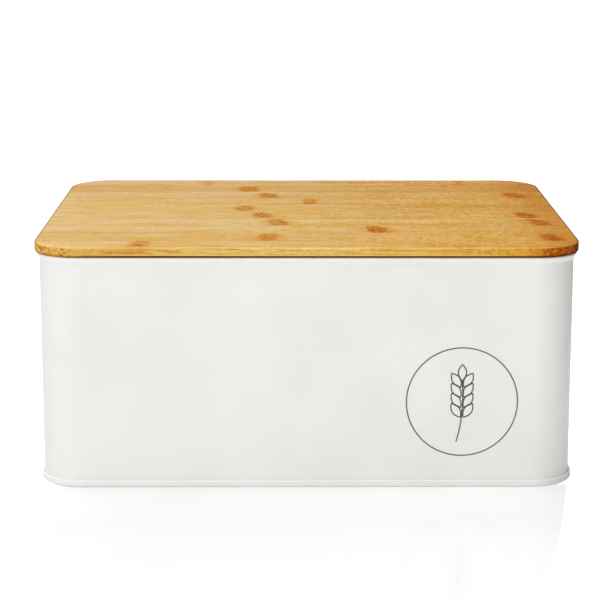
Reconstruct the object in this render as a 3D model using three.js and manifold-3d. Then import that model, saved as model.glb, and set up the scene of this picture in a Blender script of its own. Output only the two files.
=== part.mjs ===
// Bread bin: a white coated sheet-steel box under a rebated bamboo lid that turns over as a cutting board.
// Millimetres, +Z up. The front faces -Y, and the origin is at the middle of the base, on the table.
//
// The box is two pieces of sheet: a wall wrapped into a rounded rectangle, hemmed outwards at the rim and
// lapped at the back, and a base pan, locked to the wall by a double seam that is also the standing ring.
// The lid is a board of two plies, each glued up from bamboo strips that run along the length of the box.
// The lower ply is smaller all round, so it drops into the mouth while the upper one rests on the hem.
import * as THREE from 'three';
import { mergeVertices } from 'three/addons/utils/BufferGeometryUtils.js';
import Module from 'manifold-3d';

const wasm = await Module();
wasm.setup();

// Lid, whose outline sets the outline of the whole box.
const LID_WIDTH = 305;
const LID_DEPTH = 235;
const LID_CORNER_RADIUS = 26;
const LID_OVERHANG = 2.6; // edge of the lid beyond the outer face of the wall
const FLANGE_THICKNESS = 5.8; // upper ply, the edge that shows
const FLANGE_TOP_ROUND = 1.2;
const FLANGE_UNDER_ROUND = 0.8;
const PLUG_THICKNESS = 6.2; // lower ply, inside the mouth
const PLUG_UNDER_ROUND = 1;
const PLUG_CLEARANCE = 1.2; // lower ply to the inside of the wall, on each side
const SEAT_GAP = 0.1; // upper ply to the top of the hem
const STRIP_WIDTH = 24;
const GLUE_LINE = 0.05; // between neighbouring strips and between the plies

// Sheet-steel box.
const BODY_HEIGHT = 131.5; // table to the top of the hem
const SHEET = 0.45; // steel with its coating
const HEM_REACH = 1.65; // how far the hem stands out of the wall
const HEM_HEIGHT = 4;
const HEM_END_GAP = 0.1; // cut edge of the hem to the wall
const SEAM_HEIGHT = 4.6;
const SEAM_GAP = 0.05; // between the folded layers of the double seam
const LAP_WIDTH = 6; // where the two ends of the wall are welded over each other
const LAP_MARGIN = 1.5; // end of the lap to the hem and to the seam
const LAP_SINK = 0.1; // how far the lap's solid runs into the wall that it is welded to

// Base pan.
const PANEL_LIFT = 4; // table to the underside of the base's border
const PANEL_BEND = 1.2; // middle of the sheet, where the pan turns up into its border
const PANEL_BORDER = 14; // width of the flat border inside the wall
const PANEL_STEP_RUN = 2.5;
const PANEL_STEP_RISE = 1.2; // stiffening step up to the middle of the panel
const PANEL_LEAD = 1; // flat stretch of the panel inside its step, before the plain middle

// Air holes in the back wall, in two rows of the same count, one on each side of the lap.
const VENT_DIAMETER = 6;
const VENT_PITCH = 16;
const VENT_COUNT = 3;
const VENT_NEAREST = 30; // middle of the box to the first hole of a row
const VENT_DROP = 24; // rim to the middle of the holes

const OVERRUN = 1; // how far cutting tools run past what they cut
const CORNER_STEPS = 12; // facets of each vertical corner
const BEND_STEPS = 6; // facets of the hem's round and of each board's round edge
const FOLD_STEPS = 4; // facets of each fold and corner of the double seam
const VENT_STEPS = 20;
const TIGHTEST_CORNER = 0.5; // radius that an inset outline's corners keep, where the inset is more than theirs

const FOLD_RADIUS = SHEET + SEAM_GAP; // middle of the sheet, in every fold of the double seam
const HALF_SHEET = SHEET / 2;
const BODY = {
  width: LID_WIDTH - 2 * LID_OVERHANG,
  depth: LID_DEPTH - 2 * LID_OVERHANG,
  radius: LID_CORNER_RADIUS - LID_OVERHANG,
};
const LID = { width: LID_WIDTH, depth: LID_DEPTH, radius: LID_CORNER_RADIUS };
const PLUG_INSET = LID_OVERHANG + SHEET + PLUG_CLEARANCE;
const PLUG = {
  width: LID_WIDTH - 2 * PLUG_INSET,
  depth: LID_DEPTH - 2 * PLUG_INSET,
  radius: LID_CORNER_RADIUS - PLUG_INSET,
};
const FLANGE_BOTTOM = BODY_HEIGHT + SEAT_GAP;

const COAT = { color: 0xefeeea, roughness: 0.38, metalness: 0 };
const BAMBOO_FACE = { color: 0xdcb06c, roughness: 0.55, metalness: 0 };
const BAMBOO_CORE = { color: 0xd8ae72, roughness: 0.6, metalness: 0 };

// Points on an arc in a section, where a section's first number is the distance out of an outline and its
// second is the height. Angles are in quarter turns, anticlockwise from straight out.
function arc(out, height, radius, fromQuarter, toQuarter, steps) {
  return Array.from({ length: steps + 1 }, (_, i) => {
    const angle = (Math.PI / 2) * (fromQuarter + ((toQuarter - fromQuarter) * i) / steps);
    return [out + radius * Math.cos(angle), height + radius * Math.sin(angle)];
  });
}

// The section of a folded sheet: the line along its middle, made one sheet thick. It runs anticlockwise, out
// along the right-hand face and back along the left-hand one, with a mitre at every point of the line.
function sheetSection(middleLine) {
  const line = middleLine.map(([out, height]) => new THREE.Vector2(out, height));
  const rightFace = [];
  const leftFace = [];
  line.forEach((point, i) => {
    const before = i > 0 ? point.clone().sub(line[i - 1]).normalize() : null;
    const after = i < line.length - 1 ? line[i + 1].clone().sub(point).normalize() : null;
    const along = (before ?? after).clone().add(after ?? before).normalize();
    const mitre = HALF_SHEET / along.dot(before ?? after);
    rightFace.push([point.x + along.y * mitre, point.y - along.x * mitre]);
    leftFace.push([point.x - along.y * mitre, point.y + along.x * mitre]);
  });
  return [...rightFace, ...leftFace.reverse()];
}

// A rounded rectangle, offset outwards, at one height, anticlockwise from the middle of the right-hand side.
function ringPoints(outline, out, height) {
  const radius = Math.max(outline.radius + out, TIGHTEST_CORNER);
  const points = [];
  for (let corner = 0; corner < 4; corner++) {
    const sideX = corner === 0 || corner === 3 ? 1 : -1;
    const sideY = corner < 2 ? 1 : -1;
    for (let i = 0; i <= CORNER_STEPS; i++) {
      const angle = (Math.PI / 2) * (corner + i / CORNER_STEPS);
      points.push([
        sideX * (outline.width / 2 + out - radius) + radius * Math.cos(angle),
        sideY * (outline.depth / 2 + out - radius) + radius * Math.sin(angle),
        height,
      ]);
    }
  }
  return points;
}

// Carries a section round an outline. A closed section makes a ring with a hole in the middle. An open one
// starts on the underside and ends on the top, and each of those two ends is closed by a flat face.
function sweepAround(outline, section, isClosed) {
  const rings = section.map(([out, height]) => ringPoints(outline, out, height));
  const ringSize = rings[0].length;
  const positions = rings.flat(2);
  const faces = [];
  const at = (ring, i) => (ring % section.length) * ringSize + (i % ringSize);
  for (let ring = 0; ring < section.length - (isClosed ? 0 : 1); ring++) {
    for (let i = 0; i < ringSize; i++) {
      faces.push(at(ring, i), at(ring, i + 1), at(ring + 1, i + 1));
      faces.push(at(ring, i), at(ring + 1, i + 1), at(ring + 1, i));
    }
  }
  if (!isClosed) {
    for (let i = 1; i < ringSize - 1; i++) {
      faces.push(at(0, 0), at(0, i + 1), at(0, i));
      faces.push(at(section.length - 1, 0), at(section.length - 1, i), at(section.length - 1, i + 1));
    }
  }
  const geometry = new THREE.BufferGeometry();
  geometry.setAttribute('position', new THREE.Float32BufferAttribute(positions, 3));
  geometry.setIndex(faces);
  return geometry;
}

// A closed three.js geometry as a solid that can be joined and cut.
function solidFrom(geometry) {
  const bare = geometry.clone();
  bare.deleteAttribute('normal');
  bare.deleteAttribute('uv');
  const merged = mergeVertices(bare);
  return new wasm.Manifold(new wasm.Mesh({
    numProp: 3,
    vertProperties: merged.attributes.position.array,
    triVerts: new Uint32Array(merged.index.array),
  }));
}

function geometryFrom(solid) {
  const mesh = solid.getMesh();
  const geometry = new THREE.BufferGeometry();
  geometry.setAttribute('position', new THREE.Float32BufferAttribute(mesh.vertProperties, 3));
  geometry.setIndex([...mesh.triVerts]);
  return geometry;
}

// A box between two corners.
function blockFrom(low, high) {
  const size = high.map((value, axis) => value - low[axis]);
  const middle = high.map((value, axis) => (value + low[axis]) / 2);
  return solidFrom(new THREE.BoxGeometry(...size).translate(...middle));
}

function namedMesh(name, geometry, finish) {
  geometry.computeVertexNormals();
  const mesh = new THREE.Mesh(geometry, new THREE.MeshStandardMaterial(finish));
  mesh.name = name;
  return mesh;
}

// The double seam holds five layers. From the inside they are the pan's riser, the wall, the pan's hook,
// the wall's hook and the pan's outer turn. These are the middles of the four beside the wall.
const RISER_OUT = -SHEET - SEAM_GAP - HALF_SHEET;
const WALL_OUT = -HALF_SHEET;
const PAN_HOOK_OUT = SEAM_GAP + HALF_SHEET;
const WALL_HOOK_OUT = PAN_HOOK_OUT + FOLD_RADIUS;
const OUTER_TURN_OUT = WALL_HOOK_OUT + FOLD_RADIUS;
const WALL_FOLD_HEIGHT = SHEET + SEAM_GAP + HALF_SHEET + FOLD_RADIUS;
const PAN_FOLD_HEIGHT = SEAM_HEIGHT - HALF_SHEET - FOLD_RADIUS;

// The drill for one air hole, along Y through the back of the wall.
function ventDrill(x) {
  const length = SHEET + 2 * OVERRUN;
  const drill = new THREE.CylinderGeometry(VENT_DIAMETER / 2, VENT_DIAMETER / 2, length, VENT_STEPS);
  return solidFrom(drill.translate(x, BODY.depth / 2 - HALF_SHEET, BODY_HEIGHT - VENT_DROP));
}

// The wall: hook, fold, upright and hem, as one folded sheet, with its welded lap and its air holes.
function makeWall() {
  const hemRadius = (HEM_REACH - HALF_SHEET - WALL_OUT) / 2;
  const hemOut = WALL_OUT + hemRadius;
  const hemHeight = BODY_HEIGHT - HALF_SHEET - hemRadius;
  const section = sheetSection([
    [WALL_HOOK_OUT, PAN_FOLD_HEIGHT],
    ...arc(WALL_HOOK_OUT - FOLD_RADIUS, WALL_FOLD_HEIGHT, FOLD_RADIUS, 0, -2, FOLD_STEPS),
    ...arc(hemOut, hemHeight, hemRadius, 2, 0, BEND_STEPS),
    [HEM_END_GAP + HALF_SHEET, BODY_HEIGHT - HEM_HEIGHT],
  ]);
  const back = BODY.depth / 2;
  const lap = blockFrom(
    [-LAP_WIDTH / 2, back - LAP_SINK, SEAM_HEIGHT + LAP_MARGIN],
    [LAP_WIDTH / 2, back + SHEET, BODY_HEIGHT - HEM_HEIGHT - LAP_MARGIN],
  );
  let wall = solidFrom(sweepAround(BODY, section, true)).add(lap);
  for (let i = 0; i < VENT_COUNT; i++) {
    const x = VENT_NEAREST + i * VENT_PITCH;
    wall = wall.subtract(ventDrill(-x)).subtract(ventDrill(x));
  }
  return geometryFrom(wall);
}

// The base pan: raised panel with a stiffening step, riser, standing fold, outer turn and hook.
function makeBasePan() {
  const borderHeight = PANEL_LIFT + HALF_SHEET;
  const panelHeight = borderHeight + PANEL_STEP_RISE;
  const stepTop = -PANEL_BORDER - PANEL_STEP_RUN;
  const standing = HALF_SHEET + FOLD_RADIUS;
  const section = sheetSection([
    [stepTop - PANEL_LEAD, panelHeight],
    [stepTop, panelHeight],
    [-PANEL_BORDER, borderHeight],
    ...arc(RISER_OUT - PANEL_BEND, borderHeight - PANEL_BEND, PANEL_BEND, 1, 0, FOLD_STEPS),
    ...arc(RISER_OUT + FOLD_RADIUS, standing, FOLD_RADIUS, 2, 3, FOLD_STEPS),
    ...arc(OUTER_TURN_OUT - FOLD_RADIUS, standing, FOLD_RADIUS, 3, 4, FOLD_STEPS),
    ...arc(OUTER_TURN_OUT - FOLD_RADIUS, PAN_FOLD_HEIGHT, FOLD_RADIUS, 0, 2, FOLD_STEPS),
    [PAN_HOOK_OUT, WALL_FOLD_HEIGHT],
  ]);
  return sweepAround(BODY, section, false);
}

// The upper ply before it is ripped into strips: a flat board with a rounded top edge and a softer lower one.
function makeFlangeBoard() {
  const top = FLANGE_BOTTOM + FLANGE_THICKNESS;
  return solidFrom(sweepAround(LID, [
    ...arc(-FLANGE_UNDER_ROUND, FLANGE_BOTTOM + FLANGE_UNDER_ROUND, FLANGE_UNDER_ROUND, -1, 0, BEND_STEPS),
    ...arc(-FLANGE_TOP_ROUND, top - FLANGE_TOP_ROUND, FLANGE_TOP_ROUND, 0, 1, BEND_STEPS),
  ], false));
}

// The lower ply before it is ripped into strips, with its lower edge rounded to find the mouth of the box.
function makePlugBoard() {
  const top = FLANGE_BOTTOM - GLUE_LINE;
  const bottom = FLANGE_BOTTOM - PLUG_THICKNESS;
  return solidFrom(sweepAround(PLUG, [
    ...arc(-PLUG_UNDER_ROUND, bottom + PLUG_UNDER_ROUND, PLUG_UNDER_ROUND, -1, 0, BEND_STEPS),
    [0, top],
  ], false));
}

// Rips a board into strips at the given joints, which run from front to back and include both edges.
function ripBoard(board, joints, namePrefix, finish) {
  return joints.slice(1).map((back, i) => {
    const isFirst = i === 0;
    const isLast = i === joints.length - 2;
    const saw = blockFrom(
      [-LID_WIDTH, joints[i] + (isFirst ? -OVERRUN : GLUE_LINE / 2), 0],
      [LID_WIDTH, back + (isLast ? OVERRUN : -GLUE_LINE / 2), FLANGE_BOTTOM + FLANGE_THICKNESS + OVERRUN],
    );
    const number = String(i + 1).padStart(2, '0');
    return namedMesh(`${namePrefix}_${number}`, geometryFrom(board.intersect(saw)), finish);
  });
}

// The upper ply has full strips from the back and one that makes up the width at the front.
function flangeJoints() {
  const count = Math.round(LID_DEPTH / STRIP_WIDTH);
  const fullFromBack = Array.from({ length: count }, (_, i) => LID_DEPTH / 2 - (count - 1 - i) * STRIP_WIDTH);
  return [-LID_DEPTH / 2, ...fullFromBack];
}

// The lower ply has equal strips, so that its joints fall away from those above.
function plugJoints() {
  const count = Math.round(PLUG.depth / STRIP_WIDTH);
  return Array.from({ length: count + 1 }, (_, i) => PLUG.depth * (i / count - 1 / 2));
}

const box = new THREE.Group();
box.name = 'box';
box.add(namedMesh('side_wall', makeWall(), COAT));
box.add(namedMesh('base_pan', makeBasePan(), COAT));

const lid = new THREE.Group();
lid.name = 'lid';
lid.add(...ripBoard(makeFlangeBoard(), flangeJoints(), 'lid_face_strip', BAMBOO_FACE));
lid.add(...ripBoard(makePlugBoard(), plugJoints(), 'lid_plug_strip', BAMBOO_CORE));

const breadBin = new THREE.Group();
breadBin.name = 'bread_bin';
breadBin.add(box, lid);

export default breadBin;
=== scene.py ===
"""Bread box: a white powder-coated sheet-steel box under a rebated bamboo lid.

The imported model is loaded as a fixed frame. Each of its sheets and strips is built again here as a finer
mesh, dressed with a finish made of nodes, and set to ride on the body that carries it. Lengths are in
millimetres up to the moment a mesh is made, and every mesh is in metres, in the frame of the model.
"""

from __future__ import annotations

import logging
import math
from collections.abc import Iterable, Sequence
from dataclasses import dataclass, field
from enum import Enum

import bmesh
import bpy
from mathutils import Matrix, Vector

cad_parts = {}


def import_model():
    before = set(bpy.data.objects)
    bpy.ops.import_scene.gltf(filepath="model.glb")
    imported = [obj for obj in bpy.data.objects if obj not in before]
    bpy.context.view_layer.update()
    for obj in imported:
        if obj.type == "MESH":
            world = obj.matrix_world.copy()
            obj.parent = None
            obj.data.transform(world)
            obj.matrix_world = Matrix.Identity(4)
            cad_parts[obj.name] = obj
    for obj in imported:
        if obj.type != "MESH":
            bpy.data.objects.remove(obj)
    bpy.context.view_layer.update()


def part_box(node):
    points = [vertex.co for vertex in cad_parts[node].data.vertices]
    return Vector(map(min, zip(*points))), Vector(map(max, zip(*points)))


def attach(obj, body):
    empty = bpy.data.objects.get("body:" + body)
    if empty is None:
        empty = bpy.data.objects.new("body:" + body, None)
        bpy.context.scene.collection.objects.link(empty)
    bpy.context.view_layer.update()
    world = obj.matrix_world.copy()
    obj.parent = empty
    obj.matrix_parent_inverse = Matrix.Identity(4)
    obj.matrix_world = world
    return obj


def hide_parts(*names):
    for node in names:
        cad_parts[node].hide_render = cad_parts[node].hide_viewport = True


LOG = logging.getLogger("bread_box")

MM = 0.001
PICTURE_PIXELS = 614
SENSOR_MM = 36.0
QUARTER = math.pi / 2
TURN = 4 * QUARTER
SHARP_ANGLE = math.radians(38)
FAR = 1000.0  # millimetres, further than anything on the object
BODY_FRONT = 115.0  # millimetres from the middle of the box to its front face
EDGE_GUARD = 0.6  # millimetres from a bend to the points that keep the flat beyond it flat
SHORT_RUN = 4 * EDGE_GUARD  # a straight run shorter than this gets no points of its own
ROUND_PROFILE = 0.5  # a bevel that is a true arc

Point2 = tuple[float, float]
Size = tuple[float, float, float]  # along X, Y and Z
Step = tuple[float, ...]  # where a smooth step starts and ends, then what it gives before and after
Colour = tuple[float, float, float, float]
Outputs = bpy.types.bpy_prop_collection
Socket = bpy.types.NodeSocket
Feed = Socket | float | tuple[float, ...]

WHITE: Colour = (1.0, 1.0, 1.0, 1.0)
NOISE_MIDDLE = 0.5  # what smooth noise gives on average
MIX_COLOURS = (6, 7)  # the colour inputs of a Mix node
MIXED_COLOUR = 2  # its colour output


class Body(Enum):
    """The two bodies that pieces ride on."""

    BOX = "box"
    LID = "lid"


class Slot(Enum):
    """The names of the material slots."""

    COAT = "coat"
    BAMBOO_FACE = "bamboo_face"
    BAMBOO_CORE = "bamboo_core"


class Joining(Enum):
    """Ways to combine two closed meshes."""

    WELD = "UNION"
    CUT = "DIFFERENCE"


class Blend(Enum):
    """Ways to lay one colour over another."""

    COVER = "MIX"
    TINT = "MULTIPLY"


def srgb(red: int, green: int, blue: int) -> Colour:
    """Turns a colour as seen on a screen into the linear colour that shaders take.

    Args:
        red: Red, from 0 to 255.
        green: Green, from 0 to 255.
        blue: Blue, from 0 to 255.

    Returns:
        The linear colour, with an alpha of one.
    """

    def linear(channel: int) -> float:
        """Gives one channel's linear value, by the standard curve for screens."""
        value = channel / 255
        return value / 12.92 if value <= 0.04045 else ((value + 0.055) / 1.055) ** 2.4

    return (linear(red), linear(green), linear(blue), 1.0)


# Outlines and sections


@dataclass(frozen=True)
class Outline:
    """A rounded rectangle round the origin, in millimetres."""

    width: float
    depth: float
    radius: float

    def ring(self, out: float, height: float, steps: int, spacing: float) -> list[Vector]:
        """Lays points round the outline, offset outwards, anticlockwise from the right-hand side.

        The straight sides get points near both ends and along their length, so that the flat faces
        between the corners shade as flat.

        Args:
            out: Offset outwards, negative for inwards.
            height: Height of the ring.
            steps: Facets of each corner.
            spacing: Largest gap between points on a straight side.

        Returns:
            The ring's points.
        """
        radius = self.radius + out
        reach_x = self.width / 2 - self.radius
        reach_y = self.depth / 2 - self.radius
        corners = []
        for corner in range(4):
            side_x = 1 if corner in (0, 3) else -1
            side_y = 1 if corner < 2 else -1
            angles = [QUARTER * (corner + i / steps) for i in range(steps + 1)]
            corners.append([(side_x * reach_x + radius * math.cos(a), side_y * reach_y + radius * math.sin(a))
                            for a in angles])
        points = []
        for corner, arc_points in enumerate(corners):
            points += arc_points
            start, end = arc_points[-1], corners[(corner + 1) % 4][0]
            points += between(start, end, spacing)
        return [Vector((x, y, height)) for x, y in points]


def between(start: Point2, end: Point2, spacing: float) -> list[Point2]:
    """Fills a straight run with points, the first and last of them close to its ends.

    Args:
        start: Where the run starts.
        end: Where it ends.
        spacing: Largest gap between points.

    Returns:
        The points between the ends, which are left out. A short run gets none.
    """
    length = math.dist(start, end)
    if length < SHORT_RUN:
        return []
    inner = length - 2 * EDGE_GUARD
    count = max(1, math.ceil(inner / spacing))
    shares = [(EDGE_GUARD + inner * i / count) / length for i in range(count + 1)]
    return [(start[0] + (end[0] - start[0]) * s, start[1] + (end[1] - start[1]) * s) for s in shares]


def arc(out: float, height: float, radius: float, first: float, last: float, steps: int) -> list[Point2]:
    """Lays points on an arc in a section, whose axes are distance out of an outline and height.

    Args:
        out: Centre's distance out.
        height: Centre's height.
        radius: Radius of the arc.
        first: Quarter turns at the start, anticlockwise from straight out.
        last: Quarter turns at the end.
        steps: Facets of the arc.

    Returns:
        The arc's points, both ends included.
    """
    angles = [QUARTER * (first + (last - first) * i / steps) for i in range(steps + 1)]
    return [(out + radius * math.cos(a), height + radius * math.sin(a)) for a in angles]


def curve(start: Point2, bend: Point2, end: Point2, steps: int) -> list[Point2]:
    """Lays points on a curve that leaves its start towards a bend, and comes to its end from there.

    Args:
        start: Where the curve starts.
        bend: The point that it bends round.
        end: Where it ends.
        steps: Facets of the curve.

    Returns:
        The curve's points, both ends included.
    """
    shares = [i / steps for i in range(steps + 1)]
    return [tuple((1 - t) ** 2 * start[k] + 2 * t * (1 - t) * bend[k] + t * t * end[k] for k in (0, 1))
            for t in shares]


def filled(line: Sequence[Point2], spacing: float, closed: bool = False) -> list[Point2]:
    """Adds points along the straight runs of a line.

    Args:
        line: The line's own points.
        spacing: Largest gap between points.
        closed: Whether the line runs on from its end to its start.

    Returns:
        All the points, in order.
    """
    points = [line[0]]
    for start, end in zip(line, line[1:]):
        points += [*between(start, end, spacing), end]
    if closed:
        points += between(line[-1], line[0], spacing)
    return points


def sheet_section(middle: Sequence[Point2], thickness: float) -> list[Point2]:
    """Thickens the middle line of a folded sheet into a closed section, with a mitre at every point.

    Args:
        middle: The line along the middle of the sheet.
        thickness: The sheet's thickness.

    Returns:
        The section, out along the right-hand face and back along the left-hand one.
    """
    line = [Vector(point) for point in middle]
    right, left = [], []
    for i, point in enumerate(line):
        before = (point - line[i - 1]).normalized() if i else None
        after = (line[i + 1] - point).normalized() if i + 1 < len(line) else None
        along = ((before or after) + (after or before)).normalized()
        mitre = thickness / 2 / along.dot(before or after)
        side = Vector((along.y, -along.x)) * mitre
        right.append(tuple(point + side))
        left.append(tuple(point - side))
    return right + left[::-1]


# Meshes


def join_rings(bm: bmesh.types.BMesh, rings: Sequence[Sequence[Sequence[float]]], closed: bool) -> None:
    """Adds rings of points to a mesh, each joined to the next by a band of faces.

    Args:
        bm: The mesh.
        rings: The rings, all with the same number of points.
        closed: Whether the last ring is joined to the first. If not, both get a flat face.
    """
    loops = [[bm.verts.new(point) for point in ring] for ring in rings]
    count = len(loops[0])
    pairs = list(zip(loops, loops[1:]))
    if closed:
        pairs.append((loops[-1], loops[0]))
    for low, high in pairs:
        for i in range(count):
            j = (i + 1) % count
            bm.faces.new((low[i], low[j], high[j], high[i]))
    if not closed:
        bm.faces.new(loops[0][::-1])
        bm.faces.new(loops[-1])


def sweep(outline: Outline, section: Sequence[Point2], closed: bool, steps: int, spacing: float) -> bmesh.types.BMesh:
    """Carries a section round an outline.

    Args:
        outline: The outline to follow.
        section: The section's points, as distance out and height.
        closed: Whether the section closes on itself. An open one ends in two flat faces.
        steps: Facets of each corner.
        spacing: Largest gap between points on the straight sides.

    Returns:
        The mesh, in millimetres.
    """
    bm = bmesh.new()
    join_rings(bm, [outline.ring(out, height, steps, spacing) for out, height in section], closed)
    return bm


def lathe(profile: Sequence[Point2], place: Vector, steps: int) -> bmesh.types.BMesh:
    """Turns a profile round an axis that runs along Y.

    Args:
        profile: Radius and distance along the axis, point by point.
        place: Where the axis starts.
        steps: Facets round the axis.

    Returns:
        The closed mesh, in millimetres.
    """
    bm = bmesh.new()
    angles = [TURN * i / steps for i in range(steps)]
    join_rings(bm, [[place + Vector((radius * math.cos(a), along, radius * math.sin(a))) for a in angles]
                    for radius, along in profile], False)
    bmesh.ops.recalc_face_normals(bm, faces=bm.faces)
    return bm


def finished_object(name: str, bm: bmesh.types.BMesh) -> bpy.types.Object:
    """Makes an object of a mesh in millimetres, smooth but for its sharp edges.

    Args:
        name: Name of the object and its mesh.
        bm: The mesh, which is used up.

    Returns:
        The object, linked to the scene.
    """
    mesh = bpy.data.meshes.new(name)
    bm.to_mesh(mesh)
    bm.free()
    mesh.transform(Matrix.Scale(MM, 4))
    smooth_but_sharp(mesh)
    made = bpy.data.objects.new(name, mesh)
    bpy.context.scene.collection.objects.link(made)
    return made


def smooth_but_sharp(mesh: bpy.types.Mesh) -> None:
    """Shades a mesh smooth, with its sharp corners kept."""
    mesh.shade_smooth()
    mesh.set_sharp_from_angle(angle=SHARP_ANGLE)


def combine(target: bpy.types.Object, tool: bmesh.types.BMesh, joining: Joining) -> None:
    """Joins a second closed mesh to an object, or cuts it away.

    Args:
        target: The object, whose mesh is replaced.
        tool: The second mesh, in millimetres, which is used up.
        joining: Whether it is welded on or cut away.
    """
    other = finished_object(f"{target.name}_tool", tool)
    step = target.modifiers.new("combine", "BOOLEAN")
    step.object = other
    step.operation = joining.value
    step.solver = "EXACT"
    graph = bpy.context.evaluated_depsgraph_get()
    result = bpy.data.meshes.new_from_object(target.evaluated_get(graph))
    target.modifiers.clear()
    old, target.data = target.data, result
    result.name = target.name
    bpy.data.meshes.remove(old)
    bpy.data.objects.remove(other)
    smooth_but_sharp(result)


def adopt(piece: bpy.types.Object, body: Body, slot: Slot, material: bpy.types.Material, *nodes: str) -> None:
    """Dresses a piece and hands it to the frame.

    Args:
        piece: The piece.
        body: The body that it rides on.
        slot: The slot of its finish, which is not used.
        material: Its material.
        nodes: The nodes of the model that it stands for.
    """
    piece.data.materials.clear()
    piece.data.materials.append(material)
    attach(piece, body.value)
    if nodes:
        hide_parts(*nodes)
    LOG.info("%s: %d faces, rides on %s", piece.name, len(piece.data.polygons), body.value)


# Node trees


class Graph:
    """Adds and links the nodes of one material or node group."""

    def __init__(self, tree: bpy.types.NodeTree) -> None:
        """Takes the tree to work in."""
        self.tree = tree

    def node(self, kind: str, feeds: dict[str | int, Feed] | None = None, **settings: object) -> bpy.types.Node:
        """Adds one node.

        Args:
            kind: Blender's name for the node type.
            feeds: Values or sockets for its inputs, by name or index.
            settings: Its other properties.

        Returns:
            The node.
        """
        made = self.tree.nodes.new(kind)
        for name, value in settings.items():
            setattr(made, name, value)
        for key, value in (feeds or {}).items():
            self.feed(made.inputs[key], value)
        return made

    def feed(self, socket: Socket, value: Feed) -> None:
        """Links a socket to another, or sets its value.

        Args:
            socket: The socket that is fed.
            value: The other socket, or the value.
        """
        if isinstance(value, bpy.types.NodeSocket):
            self.tree.links.new(value, socket)
        else:
            socket.default_value = value

    def math(self, operation: str, *values: Feed) -> Socket:
        """Does one sum on numbers."""
        return self.node("ShaderNodeMath", dict(enumerate(values)), operation=operation).outputs[0]

    def plus(self, first: Feed, second: Feed) -> Socket:
        """Adds two numbers."""
        return self.math("ADD", first, second)

    def minus(self, first: Feed, second: Feed) -> Socket:
        """Takes the second number from the first."""
        return self.math("SUBTRACT", first, second)

    def times(self, first: Feed, second: Feed) -> Socket:
        """Multiplies two numbers."""
        return self.math("MULTIPLY", first, second)

    def vector(self, operation: str, *values: Feed) -> Socket:
        """Does one sum on vectors."""
        return self.node("ShaderNodeVectorMath", dict(enumerate(values)), operation=operation).outputs[0]

    def axes(self, vector: Socket) -> tuple[Socket, Socket, Socket]:
        """Splits a vector into its three numbers."""
        return tuple(self.node("ShaderNodeSeparateXYZ", {0: vector}).outputs)

    def sized(self, place: Socket, size: Size) -> Socket:
        """Measures a place in units of a size."""
        return self.vector("MULTIPLY", place, tuple(1 / length for length in size))

    def noise(self, place: Socket, size: Size, detail: float = 2.0, roughness: float = 0.5) -> Socket:
        """Reads smooth noise, from 0 to 1, whose swells have a given size along each axis."""
        feeds = {"Vector": self.sized(place, size), "Scale": 1.0, "Detail": detail, "Roughness": roughness}
        return self.node("ShaderNodeTexNoise", feeds).outputs[0]

    def rise(self, value: Feed, low: Feed, high: Feed, start: Feed = 0.0, end: Feed = 1.0) -> Socket:
        """Turns a value into a smooth step between two limits.

        Args:
            value: The value.
            low: Where the step starts.
            high: Where it ends.
            start: What it gives up to its start.
            end: What it gives past its end.

        Returns:
            The step's value.
        """
        feeds = {"Value": value, "From Min": low, "From Max": high, "To Min": start, "To Max": end}
        return self.node("ShaderNodeMapRange", feeds, interpolation_type="SMOOTHSTEP").outputs[0]

    def band(self, value: Feed, first: Step, second: Step) -> Socket:
        """Multiplies two steps of one value, so that a band is left between them."""
        return self.times(self.rise(value, *first), self.rise(value, *second))

    def mix(self, share: Feed, first: Feed, second: Feed, blend: Blend = Blend.COVER) -> Socket:
        """Mixes two colours."""
        feeds = {0: share, **dict(zip(MIX_COLOURS, (first, second)))}
        return self.node("ShaderNodeMix", feeds, data_type="RGBA", blend_type=blend.value).outputs[MIXED_COLOUR]

    def tint(self, share: Feed, colour: Feed, tint: Feed) -> Socket:
        """Multiplies a colour by a tint, by a share of it."""
        return self.mix(share, colour, tint, Blend.TINT)

    def group(self, tree: bpy.types.NodeTree, feeds: dict[str, Feed]) -> Outputs:
        """Places a node group with its own values, and gives its outputs."""
        return self.node("ShaderNodeGroup", feeds, node_tree=tree).outputs

    def when_seen(self) -> Socket:
        """Tells a ray from the camera from all others."""
        return self.node("ShaderNodeLightPath").outputs["Is Camera Ray"]


class SocketKind(Enum):
    """Kinds of socket that the shared groups have."""

    NUMBER = "NodeSocketFloat"
    VECTOR = "NodeSocketVector"


class GroupGraph(Graph):
    """The graph of a new node group, which takes one vector and some numbers, and gives masks."""

    def __init__(self, name: str, vector: str, numbers: Iterable[str], masks: Iterable[str]) -> None:
        """Makes the empty group.

        Args:
            name: The group's name.
            vector: Name of its vector input.
            numbers: Names of its other inputs.
            masks: Names of its outputs.
        """
        super().__init__(bpy.data.node_groups.new(name, "ShaderNodeTree"))
        sockets = [(vector, "INPUT", SocketKind.VECTOR)]
        sockets += [(number, "INPUT", SocketKind.NUMBER) for number in numbers]
        sockets += [(mask, "OUTPUT", SocketKind.NUMBER) for mask in masks]
        for socket, side, kind in sockets:
            self.tree.interface.new_socket(name=socket, in_out=side, socket_type=kind.value)
        self.given = self.node("NodeGroupInput").outputs
        self.vector_given = self.given[vector]
        self.masks = self.node("NodeGroupOutput").inputs

    def give(self, mask: str, value: Socket) -> None:
        """Feeds one of the group's outputs."""
        self.feed(self.masks[mask], value)


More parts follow.
